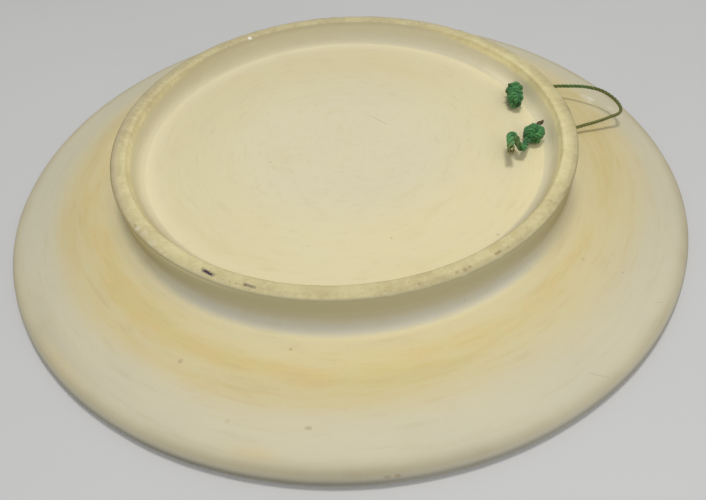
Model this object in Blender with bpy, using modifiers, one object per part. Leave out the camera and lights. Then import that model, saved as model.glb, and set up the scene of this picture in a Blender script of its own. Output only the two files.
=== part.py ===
"""A round decorative wall plate of unglazed ceramic, lying face down.

The plate is one turned solid: a sloping flange with a rounded rim, a tall foot
ring on its back, a shallow recess inside the ring and a plain turned well on
its face. Two slanting holes are pierced through the foot ring. One thin cord
runs through both, is knotted inside the recess at each end, and leaves a free
hanging loop outside the ring.

Metres, +Z up. The plate's axis is the Z axis, and the rim rests on Z = 0 with
the back of the plate facing up.
"""
import math

import bpy
from mathutils import Vector
from mathutils.geometry import interpolate_bezier

MM = 0.001

# ---- driving dimensions, in millimetres ------------------------------------

# the rim and the sloping flange
PLATE_RADIUS = 200.0
RIM_EDGE = 4.0              # radius of the rounded rim edge
REST_WIDTH = 4.5            # flat land under the rim that the plate lies on
FLANGE_ROOT_RADIUS = 138.0  # where the flange meets the fillet of the foot ring
FLANGE_ROOT_HEIGHT = 22.0
FLANGE_CROWN = 1.33         # power of the flange's fall: flat at the ring, steeper at the rim
FLANGE_WALL = 7.0           # thickness between the flange's back and its face

# the foot ring on the back
FOOT_RADIUS = 133.0
FOOT_TOP = 45.9
FOOT_EDGE = 1.4             # radius of the ring's two worn edges
FOOT_INNER_RADIUS = 124.3
FOOT_WAIST = 0.7            # how far the outer wall draws in at its base
FILLET = 5.5                # radius between the outer wall and the flange

# the recess inside the foot ring
FLOOR_HEIGHT = 32.5
FLOOR_RADIUS = 116.8
SKIRT_WIDTH = 4.0           # slope between the floor and the steep inner wall
SKIRT_HEIGHT = 4.0

# the face, on the underside
WELL_HEIGHT = 25.3
WELL_RADIUS = 117.0
SHOULDER_RADIUS = 133.0
BEAD_RADIUS = 139.0         # a turned bead around the well
BEAD_WIDTH = 5.0
BEAD_DEPTH = 1.2
BAND_RADIUS = 181.0         # a turned step inside the rim
BAND_STEP = 1.2

TURN_STEPS = 84             # facets around the plate

# the pierced holes and the cord
HOLE_MIDDLE = 11.5          # degrees from +X, half way between the holes
HOLE_SPREAD = 10.0          # degrees from there to each hole
HOLE_RADIUS = 1.8
HOLE_INSIDE = (119.0, 34.2)   # distance from the axis and height of the inner mouth
HOLE_OUTSIDE = (133.6, 28.4)  # the same for the outer mouth
CORD_DIAMETER = 2.0
ROUTE_STEP = 4.0            # spacing of the points along the cord
TAIL_STEP = 1.6             # closer together in the kinked end

# The cord's route, from the upper knot out through one hole, around the free
# loop, and back through the other hole to the lower knot.
CORD_ROUTE = (
    (108.7, 39.5, 38.3), (108.9, 42.0, 36.7), (110.9, 43.7, 34.3),
    (116.0, 45.7, 31.9), (124.3, 48.9, 28.5), (131.5, 50.5, 27.5),
    (140.3, 50.5, 27.8), (148.7, 49.1, 28.2), (159.3, 47.1, 28.2),
    (169.1, 43.2, 27.2), (175.2, 37.2, 25.4), (177.8, 30.2, 24.0),
    (177.0, 24.6, 23.4), (173.6, 20.9, 23.4), (168.0, 18.1, 23.8),
    (162.4, 15.0, 24.3), (157.0, 12.4, 24.8), (149.8, 9.6, 25.3),
    (142.0, 6.4, 26.1), (133.6, 3.9, 28.5), (126.0, 3.4, 31.4),
    (119.4, 2.6, 34.1), (117.2, 1.5, 34.9), (115.9, -0.4, 35.4),
    (115.3, -2.8, 35.7), (115.0, -5.4, 36.0), (114.8, -6.9, 36.2),
)
# The loosened end of the cord, a short kinked curl beside the lower knot.
TAIL_ROUTE = (
    (105.2, -17.5, 37.4), (103.6, -20.9, 37.4), (102.2, -23.8, 38.0),
    (100.7, -26.6, 39.0), (99.3, -27.9, 40.0), (98.1, -26.8, 41.0),
    (97.5, -24.0, 41.8), (97.2, -21.5, 42.5), (96.3, -19.9, 43.0),
    (94.9, -19.6, 43.3), (93.8, -21.0, 43.4), (93.4, -24.2, 43.3),
    (92.8, -28.2, 43.0), (92.0, -33.0, 42.2),
)

# Each knot: its centre, its three half sizes and its turn about Z in degrees.
UPPER_KNOT = ((108.2, 27.2, 38.6), (5.6, 11.6, 5.6), -4.0)
LOWER_KNOT = ((109.9, -12.0, 39.2), (7.0, 6.6, 6.2), 0.0)

# ---- materials --------------------------------------------------------------


def make_material(name, colour, roughness):
    """A plain Principled material, colour in linear RGB."""
    material = bpy.data.materials.new(name)
    material.use_nodes = True
    shader = material.node_tree.nodes["Principled BSDF"]
    shader.inputs["Base Color"].default_value = (*colour, 1.0)
    shader.inputs["Roughness"].default_value = roughness
    shader.inputs["Metallic"].default_value = 0.0
    material.diffuse_color = (*colour, 1.0)
    return material


# ---- small helpers ----------------------------------------------------------


def new_collection(name):
    collection = bpy.data.collections.new(name)
    bpy.context.scene.collection.children.link(collection)
    return collection


def move_to(collection, thing):
    """Put an object in one collection only."""
    for other in list(thing.users_collection):
        other.objects.unlink(thing)
    collection.objects.link(thing)


def arc(centre, radius, start, end, count):
    """Points on an arc in the (distance from axis, height) plane, in degrees."""
    points = []
    for index in range(count):
        angle = math.radians(start + (end - start) * index / (count - 1))
        points.append((centre[0] + radius * math.cos(angle),
                       centre[1] + radius * math.sin(angle)))
    return points


def smooth_route(points, step):
    """Points spaced evenly, near `step` apart, on a smooth curve through a route."""
    knots = [Vector(point) for point in points]
    dense = []
    for index in range(len(knots) - 1):
        before = knots[max(index - 1, 0)]
        start, end = knots[index], knots[index + 1]
        after = knots[min(index + 2, len(knots) - 1)]
        handle_out = start + (end - before) / 6.0
        handle_in = end - (after - start) / 6.0
        dense += interpolate_bezier(start, handle_out, handle_in, end, 24)[:-1]
    dense.append(knots[-1])
    lengths = [0.0]
    for first, second in zip(dense, dense[1:]):
        lengths.append(lengths[-1] + (second - first).length)
    count = max(2, round(lengths[-1] / step))
    result = []
    index = 0
    for number in range(count + 1):
        target = lengths[-1] * number / count
        while index < len(dense) - 2 and lengths[index + 1] < target:
            index += 1
        part = (target - lengths[index]) / (lengths[index + 1] - lengths[index])
        result.append(dense[index].lerp(dense[index + 1], part))
    return result


# ---- the plate --------------------------------------------------------------


def flange_back(radius):
    """Height of the flange's back at a distance from the axis."""
    rim_radius = PLATE_RADIUS - RIM_EDGE
    rim_height = 2.0 * RIM_EDGE
    part = (radius - FLANGE_ROOT_RADIUS) / (rim_radius - FLANGE_ROOT_RADIUS)
    fall = max(part, 0.0) ** FLANGE_CROWN
    return FLANGE_ROOT_HEIGHT + (rim_height - FLANGE_ROOT_HEIGHT) * fall


def back_profile():
    """The back, from the centre of the recess out to the rim."""
    skirt_radius = FLOOR_RADIUS + SKIRT_WIDTH
    skirt_height = FLOOR_HEIGHT + SKIRT_HEIGHT
    sag = 0.45              # the skirt is slightly hollow
    edge_height = FOOT_TOP - FOOT_EDGE
    base_radius = FOOT_RADIUS - FOOT_WAIST
    fillet_centre = (base_radius + FILLET, FLANGE_ROOT_HEIGHT + FILLET)
    points = [(0.0, FLOOR_HEIGHT), (FLOOR_RADIUS, FLOOR_HEIGHT)]
    points.append((FLOOR_RADIUS + SKIRT_WIDTH / 2 + sag, FLOOR_HEIGHT + SKIRT_HEIGHT / 2 - sag))
    points.append((skirt_radius, skirt_height))
    points += arc((FOOT_INNER_RADIUS + FOOT_EDGE, edge_height), FOOT_EDGE, 170.0, 90.0, 4)
    points += arc((FOOT_RADIUS - FOOT_EDGE, edge_height), FOOT_EDGE, 90.0, 0.0, 4)
    points.append((base_radius, fillet_centre[1] + 6.0))
    points += arc(fillet_centre, FILLET, 180.0, 268.0, 5)
    rim_radius = PLATE_RADIUS - RIM_EDGE
    strips = 9
    for number in range(1, strips):
        radius = FLANGE_ROOT_RADIUS + (rim_radius - FLANGE_ROOT_RADIUS) * number / strips
        points.append((radius, flange_back(radius)))
    return points


def rim_profile():
    """Around the rim edge and along the flat land that the plate lies on."""
    centre = (PLATE_RADIUS - RIM_EDGE, RIM_EDGE)
    land = (PLATE_RADIUS - RIM_EDGE - REST_WIDTH, 0.0)
    return arc(centre, RIM_EDGE, 75.0, -90.0, 8) + [land]


def face_profile():
    """The face, on the underside, from the rim in to the centre of the well."""
    land_end = PLATE_RADIUS - RIM_EDGE - REST_WIDTH
    points = [(land_end - 1.5, BAND_STEP)]
    band_height = flange_back(BAND_RADIUS) - FLANGE_WALL
    points.append((BAND_RADIUS + 1.0, band_height - BAND_STEP))
    points.append((BAND_RADIUS, band_height))
    bead_outer = BEAD_RADIUS + BEAD_WIDTH / 2
    strips = 3
    for number in range(1, strips + 1):
        radius = BAND_RADIUS + (bead_outer - BAND_RADIUS) * number / strips
        points.append((radius, flange_back(radius) - FLANGE_WALL))
    bead_height = flange_back(BEAD_RADIUS) - FLANGE_WALL
    points.append((BEAD_RADIUS + BEAD_WIDTH / 4, bead_height - BEAD_DEPTH))
    points.append((BEAD_RADIUS - BEAD_WIDTH / 4, bead_height - BEAD_DEPTH))
    points.append((SHOULDER_RADIUS, bead_height + 1.0))
    points.append(((SHOULDER_RADIUS + WELL_RADIUS) / 2 - 1.0, WELL_HEIGHT - 2.6))
    points.append((WELL_RADIUS, WELL_HEIGHT))
    points.append((0.0, WELL_HEIGHT))
    return points


def hole_point(angle, place):
    """A point on a hole's axis, from its (distance, height) and its bearing."""
    return Vector((place[0] * math.cos(angle), place[0] * math.sin(angle), place[1])) * MM


def make_hole_cutter(name, bearing, collection):
    """A slanting cylinder that pierces the foot ring."""
    angle = math.radians(bearing)
    inside = hole_point(angle, HOLE_INSIDE)
    outside = hole_point(angle, HOLE_OUTSIDE)
    along = (outside - inside).normalized()
    overrun = 7.0 * MM
    bpy.ops.mesh.primitive_cylinder_add(
        vertices=16, radius=HOLE_RADIUS * MM,
        depth=(outside - inside).length + 2.0 * overrun,
        location=(inside + outside) / 2.0)
    cutter = bpy.context.object
    cutter.name = name
    cutter.rotation_euler = along.to_track_quat("Z", "Y").to_euler()
    cutter.hide_render = True
    cutter.display_type = "WIRE"
    move_to(collection, cutter)
    return cutter


def make_plate(parts, cutters, material):
    """The turned ceramic body, pierced for the cord."""
    outline = back_profile() + rim_profile() + face_profile()
    mesh = bpy.data.meshes.new("plate")
    vertices = [(radius * MM, 0.0, height * MM) for radius, height in outline]
    edges = [(index, index + 1) for index in range(len(vertices) - 1)]
    mesh.from_pydata(vertices, edges, [])
    mesh.materials.append(material)
    plate = bpy.data.objects.new("plate", mesh)
    parts.objects.link(plate)
    turn = plate.modifiers.new("turn", "SCREW")
    turn.axis = "Z"
    turn.angle = 2.0 * math.pi
    turn.steps = TURN_STEPS
    turn.render_steps = TURN_STEPS
    turn.use_merge_vertices = True
    turn.merge_threshold = 0.00005
    turn.use_smooth_shade = False
    for side, name in ((1.0, "hole_upper"), (-1.0, "hole_lower")):
        cutter = make_hole_cutter(name, HOLE_MIDDLE + side * HOLE_SPREAD, cutters)
        cut = plate.modifiers.new(name, "BOOLEAN")
        cut.operation = "DIFFERENCE"
        cut.solver = "EXACT"
        cut.object = cutter
    return plate


# ---- the cord ---------------------------------------------------------------


def make_cord(name, route, step, parts, material):
    """A plain round tube along a route, with closed ends."""
    curve = bpy.data.curves.new(name, "CURVE")
    curve.dimensions = "3D"
    curve.bevel_depth = CORD_DIAMETER / 2.0 * MM
    curve.bevel_resolution = 2
    curve.use_fill_caps = True
    points = smooth_route(route, step)
    spline = curve.splines.new("POLY")
    spline.points.add(len(points) - 1)
    for target, point in zip(spline.points, points):
        target.co = (*(point * MM), 1.0)
    curve.materials.append(material)
    cord = bpy.data.objects.new(name, curve)
    parts.objects.link(cord)
    return cord


def make_knot(name, knot, parts, material):
    """The plain outer shape of a knot, a rounded barrel."""
    centre, half_sizes, turn = knot
    bpy.ops.mesh.primitive_uv_sphere_add(segments=20, ring_count=10, radius=1.0)
    solid = bpy.context.object
    solid.name = name
    solid.data.name = name
    solid.data.materials.append(material)
    solid.scale = Vector(half_sizes) * MM
    bpy.ops.object.transform_apply(location=False, rotation=False, scale=True)
    solid.location = Vector(centre) * MM
    solid.rotation_euler = (0.0, 0.0, math.radians(turn))
    solid.data.shade_smooth()
    move_to(parts, solid)
    return solid


def main():
    for old in list(bpy.data.objects):
        bpy.data.objects.remove(old)
    parts = new_collection("decorative wall plate")
    cutters = new_collection("cutters")
    biscuit = make_material("biscuit ceramic", (0.62, 0.52, 0.30), 0.85)
    green_cord = make_material("green cord", (0.03, 0.19, 0.04), 0.75)
    make_plate(parts, cutters, biscuit)
    make_cord("hanging_cord", CORD_ROUTE, ROUTE_STEP, parts, green_cord)
    make_cord("cord_tail", TAIL_ROUTE, TAIL_STEP, parts, green_cord)
    make_knot("cord_knot_upper", UPPER_KNOT, parts, green_cord)
    make_knot("cord_knot_lower", LOWER_KNOT, parts, green_cord)


main()
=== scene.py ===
"""The looks of a round unglazed ceramic wall plate with a knotted hanging cord.

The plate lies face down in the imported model's frame: metres, +Z up, the plate's
axis on Z and its rim on Z = 0. Lengths below are in millimetres unless a comment
says otherwise. The plate's outline and the cord's route repeat the
construction's own, with rounder edges, wear and real strands added.
"""
import math
import random

import bpy
import numpy as np
from mathutils import Matrix, Vector, noise
from mathutils.geometry import interpolate_bezier


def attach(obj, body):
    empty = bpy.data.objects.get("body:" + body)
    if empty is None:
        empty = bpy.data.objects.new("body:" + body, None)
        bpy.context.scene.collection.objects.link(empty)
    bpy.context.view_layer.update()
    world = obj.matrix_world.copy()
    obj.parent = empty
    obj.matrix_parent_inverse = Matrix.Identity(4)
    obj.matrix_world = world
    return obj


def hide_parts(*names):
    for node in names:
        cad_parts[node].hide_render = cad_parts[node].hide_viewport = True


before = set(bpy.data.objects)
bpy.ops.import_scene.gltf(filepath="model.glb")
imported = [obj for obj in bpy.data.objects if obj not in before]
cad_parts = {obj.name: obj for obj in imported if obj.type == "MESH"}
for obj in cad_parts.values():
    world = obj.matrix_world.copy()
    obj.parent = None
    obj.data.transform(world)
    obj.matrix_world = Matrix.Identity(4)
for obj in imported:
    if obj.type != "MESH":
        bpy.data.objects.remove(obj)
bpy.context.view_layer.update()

MM = 0.001

# ---- sizes shared with the construction ----

PLATE_RADIUS = 200.0
RIM_EDGE = 4.0
RIM_RADIUS = PLATE_RADIUS - RIM_EDGE        # where the flange meets the rounded rim
REST_WIDTH = 4.5
FLANGE_ROOT_RADIUS = 138.0
FLANGE_ROOT_HEIGHT = 22.0
FLANGE_CROWN = 1.33
FLANGE_WALL = 7.0

FOOT_RADIUS = 133.0
FOOT_TOP = 45.9
FOOT_EDGE = 1.4
FOOT_INNER_RADIUS = 124.3
FOOT_WAIST = 0.7
FILLET = 5.5

FLOOR_HEIGHT = 32.5
FLOOR_RADIUS = 116.8
SKIRT_WIDTH = 4.0
SKIRT_HEIGHT = 4.0

WELL_HEIGHT = 25.3
WELL_RADIUS = 117.0
SHOULDER_RADIUS = 133.0
BEAD_RADIUS = 139.0
BEAD_WIDTH = 5.0
BEAD_DEPTH = 1.2
BAND_RADIUS = 181.0
BAND_STEP = 1.2

HOLE_MIDDLE = 11.5
HOLE_SPREAD = 10.0
HOLE_INSIDE = (119.0, 34.2)
HOLE_OUTSIDE = (133.6, 28.4)

CORD_STRANDS = (0.53, 0.58, 7.6)    # a strand's radius, distance from the middle, lay
STRANDS = 3                         # twisted together
CORD_STEP = 0.36                    # between points along the cord and its tail
KNOT_STEP = 0.40                    # along the cord inside the knots
FIBRES = 46                         # at the loosened end
CORD_ROUTE = (
    (108.7, 39.5, 38.3), (108.9, 42.0, 36.7), (110.9, 43.7, 34.3),
    (116.0, 45.7, 31.9), (124.3, 48.9, 28.5), (131.5, 50.5, 27.5),
    (140.3, 50.5, 27.8), (148.7, 49.1, 28.2), (159.3, 47.1, 28.2),
    (169.1, 43.2, 27.2), (175.2, 37.2, 25.4), (177.8, 30.2, 24.0),
    (177.0, 24.6, 23.4), (173.6, 20.9, 23.4), (168.0, 18.1, 23.8),
    (162.4, 15.0, 24.3), (157.0, 12.4, 24.8), (149.8, 9.6, 25.3),
    (142.0, 6.4, 26.1), (133.6, 3.9, 28.5), (126.0, 3.4, 31.4),
    (119.4, 2.6, 34.1), (117.2, 1.5, 34.9), (115.9, -0.4, 35.4),
    (115.3, -2.8, 35.7), (115.0, -5.4, 36.0), (114.8, -6.9, 36.2),
)
TAIL_ROUTE = (
    (105.2, -17.5, 37.4), (103.6, -20.9, 37.4), (102.2, -23.8, 38.0),
    (100.7, -26.6, 39.0), (99.3, -27.9, 40.0), (98.1, -26.8, 41.0),
    (97.5, -24.0, 41.8), (97.2, -21.5, 42.5), (96.3, -19.9, 43.0),
    (94.9, -19.6, 43.3), (93.8, -21.0, 43.4), (93.4, -24.2, 43.3),
    (92.8, -28.2, 43.0), (92.0, -33.0, 42.2),
)
UPPER_KNOT = ((108.2, 27.2, 38.6), (5.6, 11.6, 5.6))
LOWER_KNOT = ((109.9, -12.0, 39.2), (7.0, 6.6, 6.2))

# ---- the finish ----

INNERMOST = 1.5             # radius of the smallest ring, which a fan closes
FLOOR_END = FLOOR_RADIUS - 1.4      # the floor's even rings end here
COARSE = 240                # facets around the face
MIDDLE = 480                # around the recess floor, the flange and the rim
FINE = 960                  # around the foot ring

# Chips out of the foot ring's edges: bearing in degrees, distance from the
# axis, size and depth.
CHIPS = (
    (118.7, 125.2, 2.6, 0.9), (51, 132.4, 2.2, 0.7), (-144.7, 132.2, 3, 0.8), (-58.7, 132.3, 2.4, 0.7),
    (-67.5, 131.8, 2.6, 0.6), (-37.8, 125.4, 2.4, 0.6), (-33, 132.3, 2, 0.6), (-83, 132.4, 1.8, 0.5),
    (-139.5, 124.9, 2.2, 0.5), (162, 124.8, 2.4, 0.6), (86, 125, 1.8, 0.5), (10, 132.5, 1.8, 0.5),
)
SMALL_CHIPS = 70

# Where the rim is drawn in, the plate being a little out of round: bearing and
# half spread in degrees, depth, and the distances over which it sets in.
RIM_PULL = (-108.0, 34.0, 0.95)
RIM_START = 175.0
RIM_FULL = 198.0

PAINTED = ("stain", "warm", "chalky", "olive", "grime", "worn_top", "shade_and_soil")

ALL_ROUND = 900             # a half spread, in degrees, that is even all the way around

# Rubbed and fired stains on the flange: bearing and half spread in degrees,
# distance from the axis, half width, strength.
STAINS = (
    (-90, 400, 151, 9.5, 0.38), (-148, 26, 144, 5, 0.38), (-155, 30, 154, 8, 0.30),
    (-150, 40, 166, 7, 0.26), (-128, 26, 153.5, 1.8, 0.45), (-112, 30, 155, 4, 0.30),
    (-115, 34, 165, 6, 0.30), (-84, 26, 154, 4.5, 0.44), (-86, 24, 164, 6, 0.42),
    (-66, 30, 149, 4.5, 0.26), (-45, 26, 148, 5, 0.22), (-12, 26, 150, 7, 0.26),
    (-12, 24, 166, 8, 0.28), (165, 40, 156, 11, 0.36), (60, 60, 162, 14, 0.35),
    (-104.5, 3.2, 190.5, 3, 0.42), (-138, 5, 194, 3.5, 0.40), (-60, 60, 176, 8, 0.10),
    (24, 24, 156, 16, 0.40), (19.1, 1.1, 170, 1.7, 0.70), (20.6, 2.6, 166, 2.2, 0.45),
    (11, 1.2, 167, 1.8, 0.45), (9.4, 1.2, 174.5, 1.8, 0.45),
)

# Darker and lighter places on the back, partly soiling and partly painted light and shade,
# such as the rim's lower edge in shadow, a shaded line along the foot ring's inner edge and a lit
# inner wall and floor edge: bearing and half spread in degrees, distance from the axis, half width and
# change of brightness.
SHADES = (
    (-95, 45, 181, 9, 0.035), (-90, 26, 147, 8, 0.045), (-32, 26, 164, 13, -0.035),
    (-200, 16, 146, 9, 0.14), (-197, 9, 140, 3, 0.14), (-197, 14, 162, 8, -0.05),
    (-160, 26, 164, 11, -0.05), (-85, 40, 165, 8, -0.025), (-143, 14, 190, 4, -0.07),
    (-148, 22, 138.5, 3, -0.10), (-30, 18, 137, 3, -0.08), (-94, 26, 197.4, 4.2, -0.20),
    (-135, 22, 198.8, 2.4, -0.12), (-55, 34, 199.4, 2, -0.10), (-112, 34, 201.2, 1.6, -0.85),
    (-15, 60, 198.5, 3.6, -0.04), (-45, 40, 200.5, 1.2, -0.40), (-100, 110, 194.5, 2.4, 0.035),
    (-30, 20, 135.3, 2.6, -0.24), (-100, 120, 121.3, 1, -0.03), (0, ALL_ROUND, 122.5, 2, 0.05),
    (20, 50, 122, 3, 0.07), (20, 60, 123.8, 1, 0.12), (-178, 26, 123.6, 1.4, 0.20),
    (30, 16, 129.2, 1.4, -0.10), (-8, 26, 121, 3.5, 0.26), (22, 14, 119, 2, 0.22),
    (-165, 22, 120.5, 4, 0.16), (-90, 48, 124.7, 0.8, -0.13), (90, 48, 124.7, 0.8, -0.10),
    (-45, 55, 131.6, 1.8, -0.12), (0, 26, 130.4, 1.7, -0.10), (-105, 26, 129.8, 2.2, -0.08),
    (-90, 25, 126.5, 1.8, -0.06), (150, 22, 129, 2.6, -0.10), (-165, 20, 131.6, 1.3, -0.12),
    (20, 40, 132.9, 0.7, -0.34), (0, 24, 121, 1.3, -0.05), (172, 34, 118.6, 2.2, 0.09),
    (-15, 26, 117.5, 1.6, 0.07), (36, 22, 120.8, 2.5, 0.08), (-0.6, 1.8, 132.5, 0.9, -0.30),
    (150, 50, 132.9, 0.8, -0.32), (60, 50, 78, 30, -0.02), (-75, 40, 113.5, 3, 0.05),
    (100, 60, 114.5, 3.5, 0.06),
)
# The same on the foot ring's outer wall, by height instead of distance: a painted highlight
# along its top edge at the front left, and painted shade low down on it.
WALL_SHADES = (
    (-90, ALL_ROUND, 30, 3.4, -0.14), (-142, 17, 41, 4, 0.22), (-154, 11, 37, 5, 0.16),
    (-127, 13, 43.6, 1.4, 0.48), (-45, 20, 43.5, 1.4, 0.16), (-28, 15, 28, 4.5, -0.14),
    (-24, 12, 42.5, 2.6, 0.12), (-152, 10, 40.5, 3, 0.10),
)

# Marks in the clay. A spot is bearing in degrees, distance from the axis, height,
# width and strength. A stroke has a second place, its other end, before its width.
INK_MARKS = (
    (-121.9, 129.7, 45.8, -120, 130.2, 45.8, 0.95, 0.95),
    (-122.3, 129.5, 45.8, -119.6, 130.3, 45.8, 1.35, 0.45),
    (-111.9, 130, 45.8, -110.5, 130.5, 45.8, 0.60, 0.55),
    (-112.3, 129.9, 45.8, -110, 130.6, 45.8, 1.00, 0.40), (-112, 130.4, 45.8, 0.8, 0.7),
    (-116.9, 130.5, 45.8, 0.5, 0.35), (-115.4, 130.8, 45.8, 0.45, 0.30),
    (-114, 130.9, 45.8, 0.6, 0.40), (-113.2, 130.6, 45.8, 0.4, 0.30),
)
BROWN_MARKS = (
    (-68.9, 130.9, 45.8, 1.1, 0.33), (-67.2, 131, 45.8, 1.3, 0.36), (-65.8, 130.6, 45.8, 1, 0.33),
    (-59.3, 130.8, 45.7, -58.1, 130.6, 45.7, 0.7, 0.51), (-56, 131.2, 45.7, 0.8, 0.3),
    (-34.5, 131.9, 45.4, -31.8, 132.2, 45.4, 0.6, 0.42), (-38, 128.4, 45.8, 0.8, 0.33),
    (-39.6, 128.8, 45.8, 0.7, 0.3), (-77.2, 130.5, 45.8, 0.8, 0.27), (-145, 131.3, 45.6, 1, 0.36),
    (-140.8, 130.6, 45.8, 0.7, 0.24), (51, 131.4, 45.7, 1.2, 0.42), (49.3, 131, 45.7, 0.9, 0.3),
    (-160.8, 45.9, 32.4, 0.7, 0.33), (-155.2, 40, 32.4, 0.55, 0.21),
    (-5.6, 74.1, 32.4, 0.7, 0.24), (-49.4, 114.5, 32.4, 0.9, 0.27),
    (-102.4, 143.7, 21.3, 0.8, 0.36), (-120.5, 162.5, 17.5, 1.3, 0.27),
    (-97.9, 178.1, 13.3, -97.3, 178.2, 13.3, 0.9, 0.3), (-39.3, 151.8, 19.8, 0.9, 0.27),
    (-38.6, 190.6, 9.7, -37.9, 193, 9, 0.45, 0.3), (-109.2, 180.1, 12.8, 1.2, 0.13),
    (21.8, 119.9, 35.6, 0.9, 0.3),
)
SCRATCHES = (
    (69.4, 33.7, 32.4, 27.9, 31, 32.4, 0.22, 0.55),
    (-56.6, 188, 10.5, -54.6, 195, 8.2, 0.30, 0.42), (-44, 183, 12, -43.2, 186, 11.2, 0.22, 0.35),
    (-87.7, 198, 6.7, -87.3, 198, 6.7, 0.9, 0.50), (-86.4, 198, 6.7, -86.1, 198, 6.7, 1, 0.60),
)
BARE_SPOTS = (
    (17.9, 177.5, 13.4, 3.4, 0.45), (18.6, 175, 14, 4.6, 0.22), (16.6, 173.6, 14.4, 1.8, 0.30),
    (14.2, 185.4, 11.2, 2.4, 0.25), (118.7, 125.9, 45.3, 1.6, 0.9),
    (-143.6, 131.4, 45.5, 1.7, 0.30), (-141, 130.4, 45.8, 2.2, 0.16),
    (-137, 131, 45.7, 2.4, 0.16),
)
SPOT_LENGTH = 0.0002         # metres

# ---- camera and light ----

CAMERA_PLACE = (0.0, -0.31692, 0.26583)     # metres
CAMERA_PITCH = 45.891                       # degrees, as are the next two
CAMERA_YAW = 0.269
CAMERA_ROLL = -3.783
CAMERA_LENS = 33.14
LAMP_COLOUR = (1.0, 0.985, 0.96)
SKY_COLOUR = (0.97, 0.985, 1.0, 1.0)
SKY_STRENGTH = 0.40

# ---- helpers ----


def srgb(red, green, blue):
    """A colour given as 0 to 255 screen values, in linear RGB."""
    def linear(value):
        share = value / 255.0
        return share / 12.92 if share <= 0.04045 else ((share + 0.055) / 1.055) ** 2.4
    return (linear(red), linear(green), linear(blue), 1.0)


def smoothstep(low, high, value):
    """From 0 at low to 1 at high, level at both ends. It falls if low is the larger."""
    share = np.clip((value - low) / (high - low), 0.0, 1.0)
    return share * share * (3.0 - 2.0 * share)


def degrees_between(bearing, centre):
    """The turn from one bearing to another, from -180 to 180."""
    return (bearing - centre + 180.0) % 360.0 - 180.0


def facing(bearing, centre):
    """1 where a bearing is the centre's own, falling to -1 on the opposite side."""
    return math.cos(math.radians(bearing - centre))


def evenly(start, end, steps):
    """Values from start to end in even steps, both ends included."""
    return [start + (end - start) * number / steps for number in range(steps + 1)]


def beside(centre, offsets):
    """Places given by their offsets from a centre."""
    return [tuple(np.add(centre, offset)) for offset in offsets]


def noise_at(*place):
    """Smooth noise, the same in every run."""
    return noise.noise(Vector(place))


def polar(angle, radius, height):
    """A place on the plate in metres, from degrees and millimetres."""
    turn = math.radians(angle)
    return (radius * math.cos(turn) * MM, radius * math.sin(turn) * MM, height * MM)


def add_object(name, data):
    """A new object in the scene."""
    made = bpy.data.objects.new(name, data)
    bpy.context.scene.collection.objects.link(made)
    return made


def new_mesh(name, points, faces):
    """A mesh in metres, from points in millimetres."""
    mesh = bpy.data.meshes.new(name)
    mesh.from_pydata([Vector(point) * MM for point in points], [], faces)
    return mesh


def store(mesh, name, values):
    """Keep one number for each of a mesh's points, for the material to read."""
    attribute = mesh.attributes.new(name, "FLOAT", "POINT")
    attribute.data.foreach_set("value", np.array(values, np.float32))


# ---- camera ----


def make_camera():
    """Stands on the -Y side and looks down on the plate at 46 degrees."""
    pitch, yaw, roll = (math.radians(turn) for turn in (CAMERA_PITCH, CAMERA_YAW, CAMERA_ROLL))
    forward = Vector((math.sin(yaw) * math.cos(pitch),
                      math.cos(yaw) * math.cos(pitch), -math.sin(pitch)))
    level = Vector((math.cos(yaw), -math.sin(yaw), 0.0))
    above = level.cross(forward)
    right = level * math.cos(roll) + above * math.sin(roll)
    up = above * math.cos(roll) - level * math.sin(roll)
    camera = add_object("camera", bpy.data.cameras.new("camera"))
    camera.data.sensor_width = 36.0
    camera.data.lens = CAMERA_LENS
    matrix = Matrix((right, up, -forward)).transposed().to_4x4()
    matrix.translation = Vector(CAMERA_PLACE)
    camera.matrix_world = matrix
    bpy.context.scene.camera = camera


# ---- routes and strands ----


def smooth_route(points, step):
    """Points spaced evenly, near `step` apart, on a smooth curve through a route."""
    knots = [Vector(point) for point in points]
    dense = []
    for index in range(len(knots) - 1):
        before = knots[max(index - 1, 0)]
        start, end = knots[index], knots[index + 1]
        after = knots[min(index + 2, len(knots) - 1)]
        handle_out = start + (end - before) / 6.0
        handle_in = end - (after - start) / 6.0
        dense += interpolate_bezier(start, handle_out, handle_in, end, 24)[:-1]
    dense.append(knots[-1])
    dense = np.array(dense)
    lengths = lengths_along(dense)
    count = max(2, round(lengths[-1] / step))
    places = np.linspace(0.0, lengths[-1], count + 1)
    return np.stack([np.interp(places, lengths, dense[:, axis]) for axis in range(3)], axis=1)


def lengths_along(line):
    """The distance of each point from the line's start."""
    return np.concatenate(([0.0], np.cumsum(np.linalg.norm(np.diff(line, axis=0), axis=1))))


def carried_frames(line):
    """A line's direction at each point, and two across it, carried without twist."""
    tangents = np.gradient(line, axis=0)
    tangents /= np.linalg.norm(tangents, axis=1)[:, None]
    side = np.cross(tangents[0], (0.0, 0.0, 1.0))
    if np.linalg.norm(side) < 0.2:
        side = np.cross(tangents[0], (1.0, 0.0, 0.0))
    sides = []
    for tangent in tangents:
        side = side - tangent * side.dot(tangent)
        side = side / np.linalg.norm(side)
        sides.append(side)
    return tangents, np.array(sides), np.cross(tangents, sides)


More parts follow.
